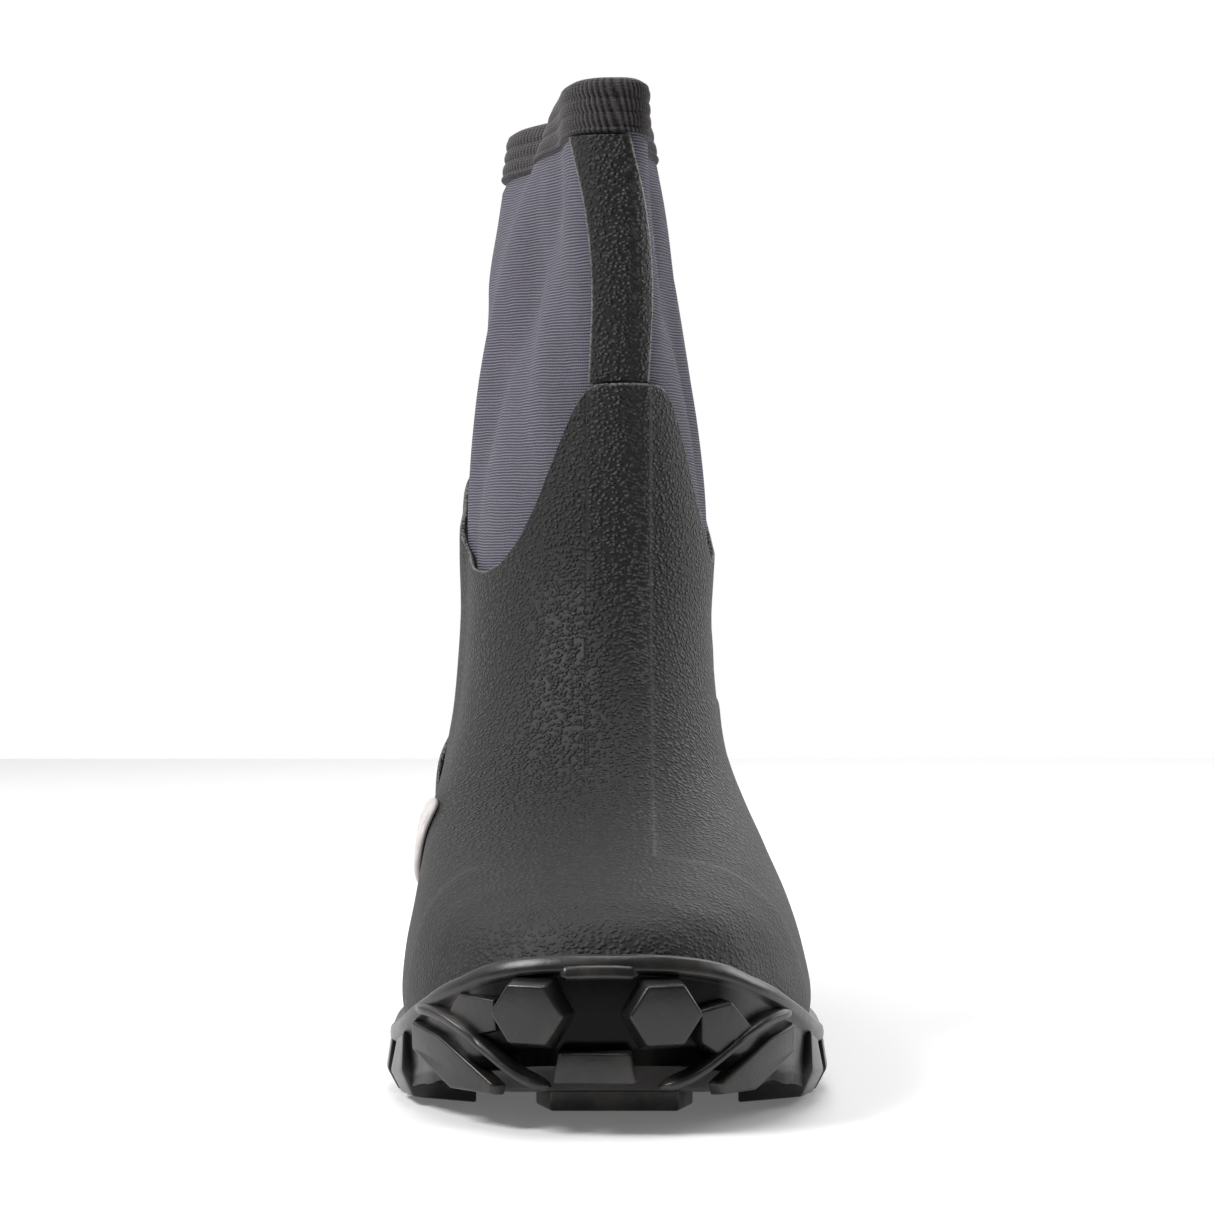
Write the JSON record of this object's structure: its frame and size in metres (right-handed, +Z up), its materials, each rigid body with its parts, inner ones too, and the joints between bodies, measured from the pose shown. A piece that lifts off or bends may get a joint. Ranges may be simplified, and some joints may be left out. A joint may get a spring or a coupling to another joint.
{
  "type": "insulated rubber boot",
  "caption": "Mid height insulated boot: soft foam rubber bootie and shaft, rubber cover up the shin, ribbed knit collar and lugged rubber outsole",
  "frame": {"origin": "on the floor, in the middle of the heel's centre lug", "axes": "+Z up, the toe points to -Y, +X is the inner side of the right foot"},
  "size_m": [0.119, 0.3157, 0.281],
  "materials": {
    "neoprene": "fine knitted jersey face on foam rubber",
    "cover_rubber": "pebbled, slight satin sheen",
    "sole_rubber": "moulded, satin to glossy",
    "knit": "ribbed stretch knit",
    "badge": "smooth, blank",
    "footbed": "brushed textile on foam"
  },
  "bodies": {
    "root": {"upper": "neoprene", "rubber_cover": "cover_rubber", "shin_strip": "cover_rubber", "heel_counter": "cover_rubber", "side_badge": "badge", "collar_binding": "knit", "insole": "footbed", "outsole": "sole_rubber"}
  },
  "joints": []
}
